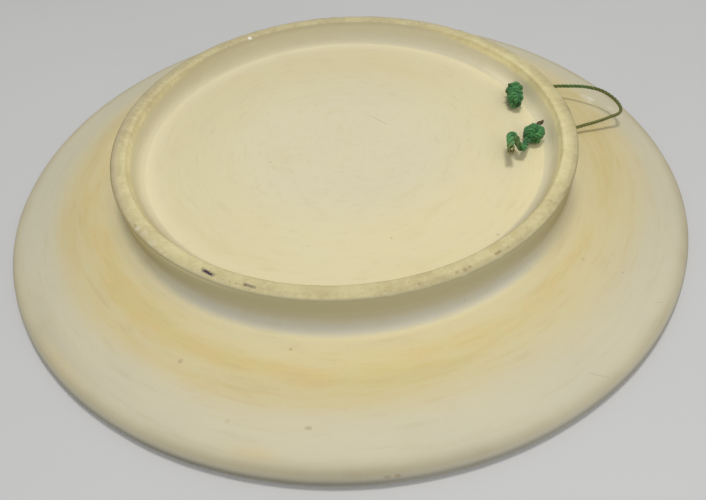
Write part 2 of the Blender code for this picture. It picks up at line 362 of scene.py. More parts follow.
class Strands:
    """Round strands gathered into one mesh, with UVs and painted values."""

    def __init__(self):
        self.points = []
        self.faces = []
        self.uvs = []
        self.values = {"fade": [], "burnt": [], "tone": [], "crest": []}

    def tube(self, line, radius, sides, core=None, fade=0.0, burnt=0.0, tone=0.5):
        """One closed round strand. The painted values may change along it, and
        its crest is how far it stands out from the core that it is twisted around."""
        count = len(line)
        tangents, across, up = carried_frames(line)
        along = lengths_along(line)
        order = [0, *range(count), count - 1]       # each end has a second, smaller ring
        share = np.ones(count + 2)
        share[[0, -1]] = 0.55
        push = np.zeros(count + 2)
        push[[0, -1]] = (-0.42, 0.42)
        radius = np.broadcast_to(np.asarray(radius, float), (count,))[order]
        centres = line[order] + tangents[order] * (radius * push)[:, None]
        angles = np.linspace(0.0, 2.0 * math.pi, sides, endpoint=False)[:, None]
        out = np.cos(angles) * across[order][:, None] + np.sin(angles) * up[order][:, None]
        rings = centres[:, None] + (radius * share)[:, None, None] * out
        reach = radius[[0, -1]] * (-0.62, 0.62)
        base = len(self.points)
        self.points += [*rings.reshape(-1, 3), *(line[[0, -1]] + tangents[[0, -1]] * reach[:, None])]
        crest = np.ones(rings.shape[:2])
        if core is not None:
            furthest = np.linalg.norm(line[order] - core[order], axis=1) + radius
            crest = np.linalg.norm(rings - core[order][:, None], axis=2) / furthest[:, None]
        self.values["crest"] += [*crest.ravel(), 0.7, 0.7]
        for name, value in (("fade", fade), ("burnt", burnt), ("tone", tone)):
            value = np.broadcast_to(np.asarray(value, float), (count,))
            self.values[name] += [*np.repeat(value[order], sides), value[0], value[-1]]

        first_tip = base + len(order) * sides
        end = first_tip - sides
        for number in range(count + 1):
            low, high = along[order[number]], along[order[number + 1]]
            here = base + number * sides
            there = here + sides
            for side in range(sides):
                following = (side + 1) % sides
                left, right = side / sides, (side + 1) / sides
                self.faces.append((here + side, here + following,
                                   there + following, there + side))
                self.uvs.append(((low, left), (low, right), (high, right), (high, left)))
        for side in range(sides):
            following = (side + 1) % sides
            self.faces.append((first_tip, base + following, base + side))
            self.faces.append((first_tip + 1, end + side, end + following))
            self.uvs += [((0.0, 0.5),) * 3, ((along[-1], 0.5),) * 3]

    def rope(self, line, strand_radius, spread, lay, sides=10, start=0.0, tone=0.5, **painted):
        """Strands twisted around a line; `spread` is their distance from it, and
        `lay` is the length in which they turn once."""
        _, across, up = carried_frames(line)
        turns = lengths_along(line) / lay
        spread = np.broadcast_to(np.asarray(spread, float), (len(line),))[:, None]
        for strand in range(STRANDS):
            angle = (2.0 * math.pi * (turns + strand / STRANDS) + start)[:, None]
            path = line + spread * (np.cos(angle) * across + np.sin(angle) * up)
            self.tube(path, strand_radius, sides, line, tone=tone + 0.12 * (strand - 1), **painted)

    def build(self, name, material):
        """The gathered strands as one object."""
        mesh = new_mesh(name, self.points, self.faces)
        layer = mesh.uv_layers.new(name="UVMap")
        flat = [pair for face in self.uvs for pair in face]
        layer.data.foreach_set("uv", np.array(flat, np.float32).ravel())
        for title, values in self.values.items():
            store(mesh, title, values)
        mesh.materials.append(material)
        mesh.shade_smooth()
        return add_object(name, mesh)


def wander(line, amount, scale, seed):
    """A line moved by a little smooth noise, so that it isn't machine-made."""
    moved = []
    for point in line:
        place = Vector(point) / scale + Vector((seed, 3.1 * seed, 7.7 * seed))
        shift = [noise.noise(place + Vector((0.0, 0.0, 17.3 * axis))) for axis in range(3)]
        moved.append(point + amount * np.array(shift))
    return np.array(moved)


# ---- the cord ----


def make_hanging_cord(material):
    """The stretch between the knots, out through one hole and back by the other."""
    line = smooth_route(CORD_ROUTE, CORD_STEP)
    # Along is the share of the way from the upper knot to the lower one.
    along = lengths_along(line) / lengths_along(line)[-1]
    fade = 0.38 + 0.26 * smoothstep(0.33, 0.42, along) + 0.14 * smoothstep(0.46, 0.60, along)
    fade += 0.30 * smoothstep(0.262, 0.240, along) - 0.40 * smoothstep(0.84, 0.92, along)
    tone = 0.42 - 0.32 * smoothstep(0.34, 0.42, along) + 0.30 * smoothstep(0.50, 0.60, along)
    # Dark brown near the lower hole: partly the brown of a scorched lump, partly painted shade where
    # the cord goes into the hole.
    burnt = 0.9 * smoothstep(0.915, 0.93, along) * smoothstep(0.985, 0.965, along)
    strands = Strands()
    strands.rope(line, *CORD_STRANDS, fade=fade, burnt=burnt, tone=tone)
    return strands.build("hanging_cord_twisted", material), line


def barrel_line(centre, length, radius, turns, lean):
    """A strand wound along a barrel and back, the barrel wider at its far end."""
    line = []
    out = np.linspace(0.0, 1.0, 30)
    for half_turn, shares in ((0.0, out), (0.5, out[::-1])):
        for share in shares:
            angle = 2.0 * math.pi * (turns * share + half_turn) + 0.6
            swell = math.sqrt(max(1.0 - (2.0 * share - 1.0) ** 4, 0.0))
            reach = radius * (0.60 + 0.40 * swell) * (0.84 + 0.16 * share)
            aside = -reach * math.cos(angle)
            line.append((centre[0] + 2.0 * (share - 0.5) + aside,
                         centre[1] + length * (share - 0.5) + lean * aside,
                         centre[2] + reach * math.sin(angle)))
    return line


def make_upper_knot(material):
    """A long barrel knot: slanting wraps around the cord's own core."""
    centre, half = UPPER_KNOT
    wraps = barrel_line(centre, 2.0 * (half[1] - 3.4), half[0] - 1.8, 1.9, 0.34)
    line = wander(smooth_route(wraps, KNOT_STEP), 1.0, 4.5, 1.7)
    fade = 0.02 + 0.28 * smoothstep(centre[1] - 6.5, centre[1] - 11.0, line[:, 1])
    strands = Strands()
    strands.rope(line, 0.84, 0.96, 6.2, fade=fade, tone=0.45)
    core = beside(centre, ((0.5, half[1] - 0.4, -0.4), (0.0, 0.0, 0.0), (-0.3, 2.0 - half[1], 0.0)))
    strands.rope(smooth_route(core, 0.6), 1.25, 1.1, 9.0, tone=0.25)
    for out, rise, reach in ((-5.6, 1.6, 2.2), (-3.5, 5.0, 4.3)):
        stub = smooth_route(beside(centre, (
            (0.3 * out, rise - 1.5, 2.4), (0.7 * out, rise - 0.5, reach), (out, rise, reach))), 0.35)
        burnt = 0.7 * smoothstep(0.60, 0.95, np.linspace(0.0, 1.0, len(stub)))
        strands.rope(stub, 0.55, 0.50, 5.0, sides=9, fade=0.1, burnt=burnt, tone=0.3)
    return strands.build("upper_knot", material)


def woven_ball(centre, half, leads, bights, opening, rise, strand):
    """A strand woven over and under itself around a ball, its poles along a slant."""
    pole = Vector((0.35, 0.85, 0.30)).normalized()
    across = pole.orthogonal().normalized()
    other = pole.cross(across)
    points = []
    steps = 90
    for index in range(steps + 1):
        turn = 2.0 * math.pi * leads * index / steps
        beat = turn * bights / leads
        off_pole = math.pi / 2.0 - math.radians(opening) * math.cos(beat)
        reach = 1.0 + rise * math.sin(2.0 * beat)
        direction = (pole * math.cos(off_pole)
                     + (across * math.cos(turn) + other * math.sin(turn)) * math.sin(off_pole))
        points.append(tuple(centre[axis] + direction[axis] * reach * (half[axis] - strand)
                            for axis in range(3)))
    return points


def make_lower_knot(material):
    """A round knot with the cord's end coming out of its lower left."""
    (x, y, z), half = LOWER_KNOT
    centre = (x, y - 1.0, z - 0.7)
    points = woven_ball(centre, [size * 0.94 for size in half], 3, 4, 54.0, 0.10, 1.95)
    line = wander(smooth_route(points, KNOT_STEP), 0.5, 5.0, 4.2)
    strands = Strands()
    strands.rope(line, 0.82, 0.94, 6.2, tone=0.42)
    inner = woven_ball(centre, [size * 0.70 for size in half], 2, 3, 60.0, 0.10, 1.3)
    strands.rope(smooth_route(inner, 0.6), 0.95, 0.85, 8.0, sides=8, tone=0.2)
    # The strand from the ball into the tail is darkest, a painted shade beside the ball.
    into_tail = (beside(centre, ((-0.6, -1.0, -0.5), (-2.9, -3.2, -0.2)))
                 + beside(TAIL_ROUTE[0], ((0.3, 0.6, -0.1),)))
    strands.rope(smooth_route(into_tail, KNOT_STEP), 1.02, 1.00, 8.0, fade=0.02, tone=0.10)
    from_cord = (beside(CORD_ROUTE[-1], ((0.0, 0.0, 0.0), (-0.6, -1.6, 0.4)))
                 + beside(centre, ((3.0, 1.2, -0.6),)))
    strands.rope(smooth_route(from_cord, KNOT_STEP), *CORD_STRANDS, tone=0.3)
    return strands.build("lower_knot", material)


def make_tail(material):
    """The cord's loosened end: its strands part and fray into fibres."""
    line = smooth_route(TAIL_ROUTE, CORD_STEP)
    along = np.linspace(0.0, 1.0, len(line))
    spread = 1.02 + 0.12 * smoothstep(0.60, 0.78, along) + 0.35 * smoothstep(0.88, 1.0, along)
    fade = 0.10 + 0.46 * smoothstep(0.78, 0.96, along) + 0.36 * smoothstep(0.95, 1.0, along)
    fade += 0.30 * smoothstep(0.32, 0.40, along) * smoothstep(0.58, 0.50, along)
    radius = 1.00 + 0.10 * smoothstep(0.60, 0.78, along) - 0.50 * smoothstep(0.88, 1.0, along)
    # The tone is darker where the tail leaves the ball and along its middle leg, as painted shade, and
    # lighter along the left leg, as a painted highlight.
    tone = 0.20 + 0.25 * smoothstep(0.12, 0.26, along) - 0.20 * smoothstep(0.30, 0.40, along)
    tone += 0.50 * smoothstep(0.60, 0.78, along)
    strands = Strands()
    strands.rope(line, radius, spread, 12.0, start=0.8, fade=fade, tone=tone)
    chance = random.Random(11)
    end = Vector(line[-1])
    heading = (end - Vector(line[-8])).normalized()
    across = heading.orthogonal().normalized()
    other = heading.cross(across)
    for _ in range(FIBRES):
        around = chance.uniform(0.0, 2.0 * math.pi)
        out = across * math.cos(around) + other * math.sin(around)
        start = end - heading * chance.uniform(0.3, 2.6) + out * chance.uniform(0.4, 1.9)
        reach = chance.uniform(1.4, 3.0)
        lean = out * chance.uniform(0.1, 0.9) + Vector((0.0, 0.0, chance.uniform(-0.5, 0.1)))
        middle = start + heading * reach * 0.5 + lean * reach * 0.18
        tip = start + heading * reach + lean * reach * 0.6
        hair = smooth_route((start, middle, tip), 0.5)
        shade = np.linspace(0.65, 0.98, len(hair))
        strands.tube(hair, np.linspace(0.16, 0.07, len(hair)), 5, fade=shade,
                     tone=chance.uniform(0.2, 0.9))
    return strands.build("loosened_end", material)


# ---- the plate ----


def flange_back(radius):
    """Height of the flange's back at a distance from the axis."""
    rim_height = 2.0 * RIM_EDGE
    part = (radius - FLANGE_ROOT_RADIUS) / (RIM_RADIUS - FLANGE_ROOT_RADIUS)
    fall = max(part, 0.0) ** FLANGE_CROWN
    return FLANGE_ROOT_HEIGHT + (rim_height - FLANGE_ROOT_HEIGHT) * fall


def arc(centre, radius, start, end, count):
    """Points on an arc in the (distance from axis, height) plane, in degrees."""
    angles = [math.radians(turn) for turn in evenly(start, end, count - 1)]
    return [(centre[0] + radius * math.cos(angle), centre[1] + radius * math.sin(angle))
            for angle in angles]


def softened(corners, step):
    """A run through corners given as (distance, height, radius), each rounded."""
    outline = [corners[0][:2]]
    for index in range(1, len(corners) - 1):
        corner = Vector(corners[index][:2])
        back = Vector(corners[index - 1][:2]) - corner
        on = Vector(corners[index + 1][:2]) - corner
        size = min(corners[index][2], 0.45 * back.length, 0.45 * on.length)
        start = corner + back.normalized() * size
        end = corner + on.normalized() * size
        for part in (0.0, 0.25, 0.5, 0.75, 1.0):
            first = start.lerp(corner, part)
            outline.append(tuple(first.lerp(corner.lerp(end, part), part)))
    outline.append(corners[-1][:2])
    filled = [outline[0]]
    for start, end in zip(outline, outline[1:]):
        gap = math.dist(start, end)
        pieces = max(1, round(gap / step))
        for number in range(1, pieces + 1):
            part = number / pieces
            filled.append((start[0] + (end[0] - start[0]) * part,
                           start[1] + (end[1] - start[1]) * part))
    return filled


def recess_outline():
    """The recess floor, from near the axis to the foot of the skirt."""
    return [(radius, FLOOR_HEIGHT) for radius in evenly(INNERMOST, FLOOR_END, 18)[:-1]]


def ring_outline():
    """The skirt, the inner wall, the foot ring's top, its outer wall and the fillet."""
    skirt_radius = FLOOR_RADIUS + SKIRT_WIDTH
    skirt_height = FLOOR_HEIGHT + SKIRT_HEIGHT
    sag = 0.45
    middle = (FLOOR_RADIUS + SKIRT_WIDTH / 2 + sag, FLOOR_HEIGHT + SKIRT_HEIGHT / 2 - sag, 1.2)
    edge_height = FOOT_TOP - FOOT_EDGE
    base_radius = FOOT_RADIUS - FOOT_WAIST
    fillet_centre = (base_radius + FILLET, FLANGE_ROOT_HEIGHT + FILLET)
    inside = softened(((FLOOR_END, FLOOR_HEIGHT, 0.0), (FLOOR_RADIUS, FLOOR_HEIGHT, 0.8),
                       middle, (skirt_radius, skirt_height, 0.9),
                       (FOOT_INNER_RADIUS, edge_height, 0.0)), 1.3)
    top_start = FOOT_INNER_RADIUS + FOOT_EDGE
    top_end = FOOT_RADIUS - FOOT_EDGE
    points = inside[:-1] + arc((top_start, edge_height), FOOT_EDGE, 170.0, 95.0, 5)
    points += [(radius, FOOT_TOP) for radius in evenly(top_start, top_end, 6)]
    points += arc((top_end, edge_height), FOOT_EDGE, 72.0, 0.0, 4)
    points += softened(((FOOT_RADIUS - 0.1, edge_height - 1.4, 0.0),
                        (base_radius, fillet_centre[1] + 5.0, 0.0)), 1.9)
    points += arc(fillet_centre, FILLET, 180.0, 268.0, 8)
    return points


def flange_outline():
    """The sloping flange and the rounded rim, down to the land it lies on."""
    slope = [(radius, flange_back(radius))
             for radius in evenly(FLANGE_ROOT_RADIUS + 1.2, RIM_RADIUS, 30)[:-1]]
    return slope + arc((RIM_RADIUS, RIM_EDGE), RIM_EDGE, 82.0, -90.0, 14)


def face_outline():
    """The hidden face, from the land in to near the axis."""
    land_end = RIM_RADIUS - REST_WIDTH
    band_height = flange_back(BAND_RADIUS) - FLANGE_WALL
    bead_height = flange_back(BEAD_RADIUS) - FLANGE_WALL
    corners = [(land_end, 0.0, 0.0), (land_end - 1.5, BAND_STEP, 0.6),
               (BAND_RADIUS + 1.0, band_height - BAND_STEP, 0.6), (BAND_RADIUS, band_height, 0.6)]
    corners += [(radius, flange_back(radius) - FLANGE_WALL, 1.0)
                for radius in evenly(BAND_RADIUS, BEAD_RADIUS + BEAD_WIDTH / 2, 5)[1:]]
    corners += [(BEAD_RADIUS + BEAD_WIDTH / 4, bead_height - BEAD_DEPTH, 0.9),
                (BEAD_RADIUS - BEAD_WIDTH / 4, bead_height - BEAD_DEPTH, 0.9),
                (SHOULDER_RADIUS, bead_height + 1.0, 1.5),
                ((SHOULDER_RADIUS + WELL_RADIUS) / 2 - 1.0, WELL_HEIGHT - 2.6, 2.0),
                (WELL_RADIUS, WELL_HEIGHT, 2.0), (INNERMOST, WELL_HEIGHT, 0.0)]
    return softened(corners, 9.0)


def ring_of_noise(bearing, scale, seed):
    """Smooth noise around the plate, the same after a full turn."""
    return noise_at(scale * math.cos(bearing), scale * math.sin(bearing), seed)


def chip_list():
    """The foot ring's chips: the listed ones and many small random nicks."""
    chance = random.Random(5)
    chips = [tuple(chip) for chip in CHIPS]
    for _ in range(SMALL_CHIPS):
        outer = chance.random() < 0.6
        radius = 132.6 if outer else 124.7
        chips.append((chance.uniform(-180.0, 180.0), radius + chance.uniform(-0.3, 0.3),
                      chance.uniform(0.9, 1.9), chance.uniform(0.15, 0.45)))
    return chips


def rim_pull(radius, bearing):
    """How far the rim is drawn in where the plate is a little out of round."""
    centre, spread, depth = RIM_PULL
    turn = degrees_between(bearing, centre)
    return depth * smoothstep(RIM_START, RIM_FULL, radius) * math.exp(-(turn / spread) ** 2)


def worn(points):
    """Hand-turned unevenness and chips, never outside the construction's box."""
    chips = [(math.radians(chip[0]), *chip[1:]) for chip in chip_list()]
    moved = []
    for x, y, z in points:
        radius = math.hypot(x, y)
        if radius < 0.5:                # the two points on the axis
            moved.append((x, y, z))
            continue
        bearing = math.atan2(y, x)
        out = 0.0
        up = 0.0
        ring_part = z - flange_back(min(radius, RIM_RADIUS)) > -3.0
        if radius > 100.0:
            near_rim = smoothstep(RIM_START, RIM_FULL, radius)
            out -= near_rim * (0.28 + 0.28 * ring_of_noise(bearing, 3.2, 1.0)
                               + 0.10 * ring_of_noise(bearing, 14.0, 2.0))
            out -= rim_pull(radius, math.degrees(bearing))
        if ring_part and 2.0 < z:
            lathe = noise_at(radius * 0.42, 0.3 * math.cos(bearing), 9.0)
            out_of_round = noise_at(x / 26.0, y / 26.0, 4.0)
            fade = smoothstep(1.0, 6.0, z)
            up -= fade * (0.16 + 0.10 * lathe + 0.16 * out_of_round)
        if z > 38.0 and 123.0 < radius < 134.0:
            fine = noise_at(x / 2.2, y / 2.2, z / 2.2)
            coarse = noise_at(x / 7.0, y / 7.0, 6.0)
            rim_edge = max(smoothstep(130.2, 132.9, radius), smoothstep(126.2, 124.2, radius))
            up -= (0.05 + 0.09 * max(fine, -0.4)) + 0.22 * rim_edge * max(coarse, 0.0)
            for place, chip_radius, size, depth in chips:
                turn = (bearing - place + math.pi) % (2.0 * math.pi) - math.pi
                if abs(turn) < 0.05:
                    gap = math.hypot(turn * radius, (radius - chip_radius) * 1.1)
                    bite = min(max(1.7 * (1.0 - gap / size), 0.0), 1.0)
                    up -= depth * bite * (0.8 + 0.5 * fine)
        factor = (radius + out) / radius
        moved.append((x * factor, y * factor, min(z + up, FOOT_TOP)))
    return moved


def turned_mesh(name, sections):
    """A closed turned solid from runs of rings, each run with its own count."""
    rings = []
    points = []
    for outline, count in sections:
        for radius, height in outline:
            rings.append((len(points), count))
            for number in range(count):
                bearing = 2.0 * math.pi * number / count
                points.append((radius * math.cos(bearing), radius * math.sin(bearing), height))
    faces = []
    for (first, coarse), (second, fine) in zip(rings, rings[1:]):
        if coarse == fine:
            for number in range(coarse):
                following = (number + 1) % coarse
                faces.append((first + number, second + number,
                              second + following, first + following))
            continue
        flipped = coarse > fine
        if flipped:
            first, second, coarse, fine = second, first, fine, coarse
        for number in range(coarse):
            here, there = first + number, first + (number + 1) % coarse
            a, b = second + 2 * number, second + 2 * number + 1
            c = second + (2 * number + 2) % fine
            for face in ((here, a, b), (here, b, there), (there, b, c)):
                faces.append(face[::-1] if flipped else face)
    for ring, height_of, flip in ((rings[0], sections[0][0][0][1], True),
                                  (rings[-1], sections[-1][0][-1][1], False)):
        centre = len(points)
        points.append((0.0, 0.0, height_of))
        start, count = ring
        for number in range(count):
            pair = (start + number, start + (number + 1) % count)
            faces.append((centre, *pair) if flip else (centre, *pair[::-1]))
    return new_mesh(name, worn(points), faces)


def hole_cutter(name, bearing):
    """A slanting pin with flared ends that pierces the foot ring."""
    angle = math.radians(bearing)
    start, end = (Vector((radius * math.cos(angle), radius * math.sin(angle), height))
                  for radius, height in (HOLE_INSIDE, HOLE_OUTSIDE))
    along = (end - start).normalized()
    wall = (end - start).length
    stations = ((-6.0, 3.4), (-0.6, 1.9), (1.2, 1.72), (wall - 1.4, 1.72), (wall + 0.6, 1.95),
                (wall + 6.0, 3.6))
    line = np.array([start + along * place for place, _ in stations])
    strands = Strands()
    strands.tube(line, [radius for _, radius in stations], 40)
    return add_object(name, new_mesh(name, strands.points, strands.faces))


def sum_of_rows(rows, place, bearing):
    """How much all of a table's rows add up to at a place."""
    total = 0.0
    for centre, spread, middle, width, change in rows:
        turn = degrees_between(bearing, centre)
        across = (place - middle) / width
        if abs(across) < 3.0 and abs(turn) < 3.0 * spread:
            total += change * math.exp(-across * across - (turn / spread) ** 2)
    return total


def stain_at(radius, bearing, x, y):
    """How strongly the flange is stained, from 0 to about 1."""
    drift = 1.8 * ring_of_noise(math.radians(bearing), 2.3, 3.0)
    drift += 0.8 * ring_of_noise(math.radians(bearing), 8.0, 5.0)
    cloud = noise.fractal(Vector((x / 30.0, y / 30.0, 2.0)), 1.0, 2.0, 3)
    return sum_of_rows(STAINS, radius - drift, bearing) * (1.0 + 0.22 * cloud)


def paint_at(x, y, z):
    """Painted values at a place: where the clay is stained, warm, pale grey, olive, grimy or
    worn, and how bright it is; that brightness is partly soiling and partly painted light and shade.

    Warm makes the flat parts creamier and the foot ring's outer wall browner, and its
    browning of the wall towards the sides is painted shade. Olive, on the walls, is largely painted
    shade.
    """
    paint = dict.fromkeys(PAINTED, 0.0)
    radius = math.hypot(x, y)
    bearing = math.degrees(math.atan2(y, x))
    outside = radius > FOOT_RADIUS - 1.0
    on_back = z > flange_back(min(radius, RIM_RADIUS)) - 3.5
    far_side = 0.5 - 0.5 * facing(bearing, -55.0)
    from_front = abs(degrees_between(bearing, -90.0))
    side = smoothstep(28.0, 75.0, from_front)
    shade_and_soil = 1.0
    if outside and on_back:                 # the flange, the rim and the outer wall
        drift = 3.0 * ring_of_noise(math.radians(bearing), 3.0, 8.0)
        drift -= 10.0 * math.exp(-((bearing - 22.0) / 28.0) ** 2)
        paint["stain"] = stain_at(radius, bearing, x, y) * smoothstep(30.0, 22.0, z)
        warm = 1.0 - 0.95 * smoothstep(160.0, 181.0, radius + drift)
        # On the outer wall, browner and olive lower down towards the sides: painted shade where the
        # wall turns away edge-on.
        paint["warm"] = warm + (side - warm) * smoothstep(26.0, 32.0, z)
        chalky = smoothstep(137.6, 133.8, radius) * smoothstep(37.0, 26.0, z)
        paint["chalky"] = chalky * smoothstep(60.0, 32.0, from_front)
        paint["olive"] = smoothstep(27.0 - 3.0 * side, 37.0 - 5.0 * side, z)
        right = smoothstep(0.7, 1.0, facing(bearing, 5.0))
        # Darker over the flange, more so towards the right.
        shade_and_soil = 1.0 - (0.14 + 0.04 * right) * smoothstep(134.0, 140.0, radius)
    elif radius < FOOT_RADIUS:              # the recess and the inner wall
        skirt = smoothstep(115.5, 118.5, radius)
        paint["warm"] = 0.35 + 0.5 * smoothstep(45.0, 88.0, radius)
        paint["warm"] -= 0.4 * far_side * smoothstep(104.0, 113.0, radius)
        left = smoothstep(0.4, 0.9, -facing(bearing, 0.0))
        # Olive high on the steep inner wall, more at the left: painted shade.
        paint["olive"] = 0.12 * skirt + (0.30 + 0.15 * left) * smoothstep(36.0, 42.0, z)
        right = smoothstep(-0.4, 0.6, facing(bearing, 10.0))
        paint["chalky"] = 0.5 * right * skirt
        # The floor is darker towards its far side, the skirt is darker as painted shade, and the
        # floor's edge is lighter as painted light against the wall's shade.
        shade_and_soil = 0.97 - 0.08 * far_side * smoothstep(50.0, 95.0, radius)
        shade_and_soil += 0.06 * smoothstep(106.0, 113.0, radius) - 0.13 * skirt
    if outside:
        radius += rim_pull(radius, bearing)
    if on_back or radius > 195.0:
        # The rim's outer edge at the front goes neutral grey, a painted shadow on its lower half; the
        # rows of SHADES darken it too.
        shadowed_rim_edge = smoothstep(197.0, 199.4, radius) * smoothstep(75.0, 50.0, from_front)
        paint["grime"] = 0.8 * smoothstep(190.0, 198.0, radius) * (1.0 - shadowed_rim_edge)
        paint["chalky"] += shadowed_rim_edge * (1.0 - paint["chalky"])

    # The foot ring's top, whose colour spills over the inner wall at left and right; there its
    # brightness is carried over the steep wall too, a painted light over the wall's shade.
    spill = smoothstep(0.55, 0.90, abs(facing(bearing, 8.0)))
    spill *= smoothstep(128.0, 126.0, radius)
    top = smoothstep(44.6 - 4.2 * spill, 45.5 - 3.4 * spill, z)
    top *= smoothstep(123.8 - 2.0 * spill, 125.0 - 2.4 * spill, radius)
    top *= smoothstep(133.4, 132.2, radius)
    patchy = 0.5 + 0.9 * noise_at(x / 9.0, y / 9.0, 3.0)
    pale_edge = smoothstep(128.8, 130.3, radius) * smoothstep(0.35, 0.7, far_side)
    paint["worn_top"] = top * (1.0 - 0.8 * pale_edge)
    paint["chalky"] += (0.8 - paint["chalky"]) * top * pale_edge
    # The ring's top is darker on its far side.
    paint["grime"] += 0.9 * top * smoothstep(0.35, 0.95, far_side)
    paint["grime"] += top * smoothstep(129.4, 131.4, radius) * max(patchy, 0.0)
    shade_and_soil += (0.98 + 0.06 * spill - shade_and_soil) * top
    # The outer wall's painted highlight and shade by height, and the rest of the back's painted light,
    # shade and soiling by distance.
    wall = outside * smoothstep(24.0, 29.0, z) * smoothstep(44.4, 43.0, z)
    shade_and_soil += wall * sum_of_rows(WALL_SHADES, z, bearing)
    paint["shade_and_soil"] = shade_and_soil + (1.0 - wall) * sum_of_rows(SHADES, radius, bearing)
    return paint


def paint_plate(mesh):
    """Store the painted values on the mesh."""
    paints = [paint_at(*(vertex.co / MM)) for vertex in mesh.vertices]
    for name in PAINTED:
        store(mesh, name, [paint[name] for paint in paints])


def make_plate(material):
    """The ceramic body: turned, worn, pierced for the cord, then painted."""
    sections = ((recess_outline(), MIDDLE), (ring_outline(), FINE),
                (flange_outline(), MIDDLE), (face_outline(), COARSE))
    mesh = turned_mesh("turned_plate", sections)
    plate = add_object("turned_plate", mesh)
    cutters = []
    for side in (1.0, -1.0):
        cutter = hole_cutter("hole_cutter", HOLE_MIDDLE + side * HOLE_SPREAD)
        cut = plate.modifiers.new("hole", "BOOLEAN")
        cut.operation = "DIFFERENCE"
        cut.solver = "EXACT"
        cut.object = cutter
        cutters.append(cutter)
    graph = bpy.context.evaluated_depsgraph_get()
    pierced = bpy.data.meshes.new_from_object(plate.evaluated_get(graph))
    plate.modifiers.clear()
    plate.data = pierced
    for cutter in cutters:
        bpy.data.objects.remove(cutter)
    pierced.materials.clear()
    pierced.materials.append(material)
    pierced.shade_smooth()
    pierced.set_sharp_from_angle(angle=math.radians(48.0))
    paint_plate(pierced)
    return plate


# ---- materials ----


class Graph:
    """Shorthand for adding and linking nodes in a material's or a group's tree."""

    def __init__(self, tree):
        self.tree = tree

    def put(self, target, value):
        """Link a socket, or set a plain value."""
        if isinstance(value, bpy.types.NodeSocket):
            self.tree.links.new(value, target)
        else:
            target.default_value = value

    def node(self, kind, inputs=(), **settings):
        """A new node with its settings, then its inputs by name or number."""
        made = self.tree.nodes.new(kind)
        for name, value in settings.items():
            setattr(made, name, value)
        for key, value in dict(inputs).items():
            self.put(made.inputs[key], value)
        return made

    def attribute(self, name):
        return self.node("ShaderNodeAttribute", attribute_name=name).outputs["Fac"]

    def math(self, operation, first, second, clamp=False):
        made = self.node("ShaderNodeMath", {0: first, 1: second},
                         operation=operation, use_clamp=clamp)
        return made.outputs[0]

    def times(self, first, second, clamp=False):
        return self.math("MULTIPLY", first, second, clamp)

    def vector(self, operation, first, second=(0.0, 0.0, 0.0), output="Vector"):
        made = self.node("ShaderNodeVectorMath", {0: first, 1: second}, operation=operation)
        return made.outputs[output]

    def measure(self, *operation_and_vectors):
        """A number worked out from one or two vectors."""
        return self.vector(*operation_and_vectors, output="Value")

    def scale(self, vector, factor):
        made = self.node("ShaderNodeVectorMath", {0: vector, "Scale": factor}, operation="SCALE")
        return made.outputs["Vector"]

    def noise(self, vector, scale, detail, roughness=0.55, output="Fac"):
        made = self.node("ShaderNodeTexNoise", {
            "Vector": vector, "Scale": scale, "Detail": detail, "Roughness": roughness})
        return made.outputs[output]

    def fit(self, value, low, high, new_low=0.0, new_high=1.0):
        """A smooth change from new_low to new_high as the value goes from low to high."""
        made = self.node("ShaderNodeMapRange", {
            "Value": value, "From Min": low, "From Max": high,
            "To Min": new_low, "To Max": new_high}, interpolation_type="SMOOTHSTEP")
        return made.outputs["Result"]

    def mix(self, factor, first, second, blend="MIX"):
        """Two colours mixed, all the second one where the factor is 1."""
        made = self.node("ShaderNodeMix", {"Factor": factor, 6: first, 7: second},
                         data_type="RGBA", blend_type=blend)
        return made.outputs[2]

    def layers(self, colour, *layers):
        """A colour under layers, each given as how much it covers and its colour."""
        for cover, top in layers:
            colour = self.mix(cover, colour, top)
        return colour

    def bump(self, height, strength, distance, **base):
        made = self.node("ShaderNodeBump", {
            "Height": height, "Strength": strength, "Distance": distance, **base})
        return made.outputs["Normal"]


def new_material(name, inputs_of):
    """A material whose shader takes the inputs that a function makes on its graph."""
    material = bpy.data.materials.new(name)
    material.use_nodes = True
    graph = Graph(material.node_tree)
    shader = graph.tree.nodes["Principled BSDF"]
    for key, value in inputs_of(graph).items():
        graph.put(shader.inputs[key], value)
    return material


def stroke_group():
    """A node group: how much a place lies on a short stroke, with soft edges."""
    tree = bpy.data.node_groups.new("stroke", "ShaderNodeTree")
    for name, kind in (("Place", "Vector"), ("Start", "Vector"), ("End", "Vector"),
                       ("Width", "Float")):
        tree.interface.new_socket(name, in_out="INPUT", socket_type="NodeSocket" + kind)
    tree.interface.new_socket("Mask", in_out="OUTPUT", socket_type="NodeSocketFloat")
    graph = Graph(tree)
    given = graph.node("NodeGroupInput").outputs
    run = graph.vector("SUBTRACT", given["End"], given["Start"])
    away = graph.vector("SUBTRACT", given["Place"], given["Start"])
    share = graph.math("DIVIDE", graph.measure("DOT_PRODUCT", away, run),
                       graph.measure("DOT_PRODUCT", run, run), clamp=True)
    gap = graph.measure("DISTANCE", away, graph.scale(run, share))
    mask = graph.fit(graph.math("DIVIDE", gap, given["Width"]), 1.15, 0.55)
    graph.node("NodeGroupOutput", {"Mask": mask})
    return tree


def strokes(graph, group, place, rows):
    """The union of a table's strokes and spots."""
    total = None
    for *places, width, strength in rows:
        start = polar(*places[:3])
        end = polar(*places[3:]) if places[3:] else (start[0] + SPOT_LENGTH, *start[1:])
        made = graph.node("ShaderNodeGroup", {
            "Place": place, "Start": start, "End": end, "Width": width * MM}, node_tree=group)
        mask = graph.times(made.outputs["Mask"], strength)
        total = mask if total is None else graph.math("MAXIMUM", total, mask)
    return total


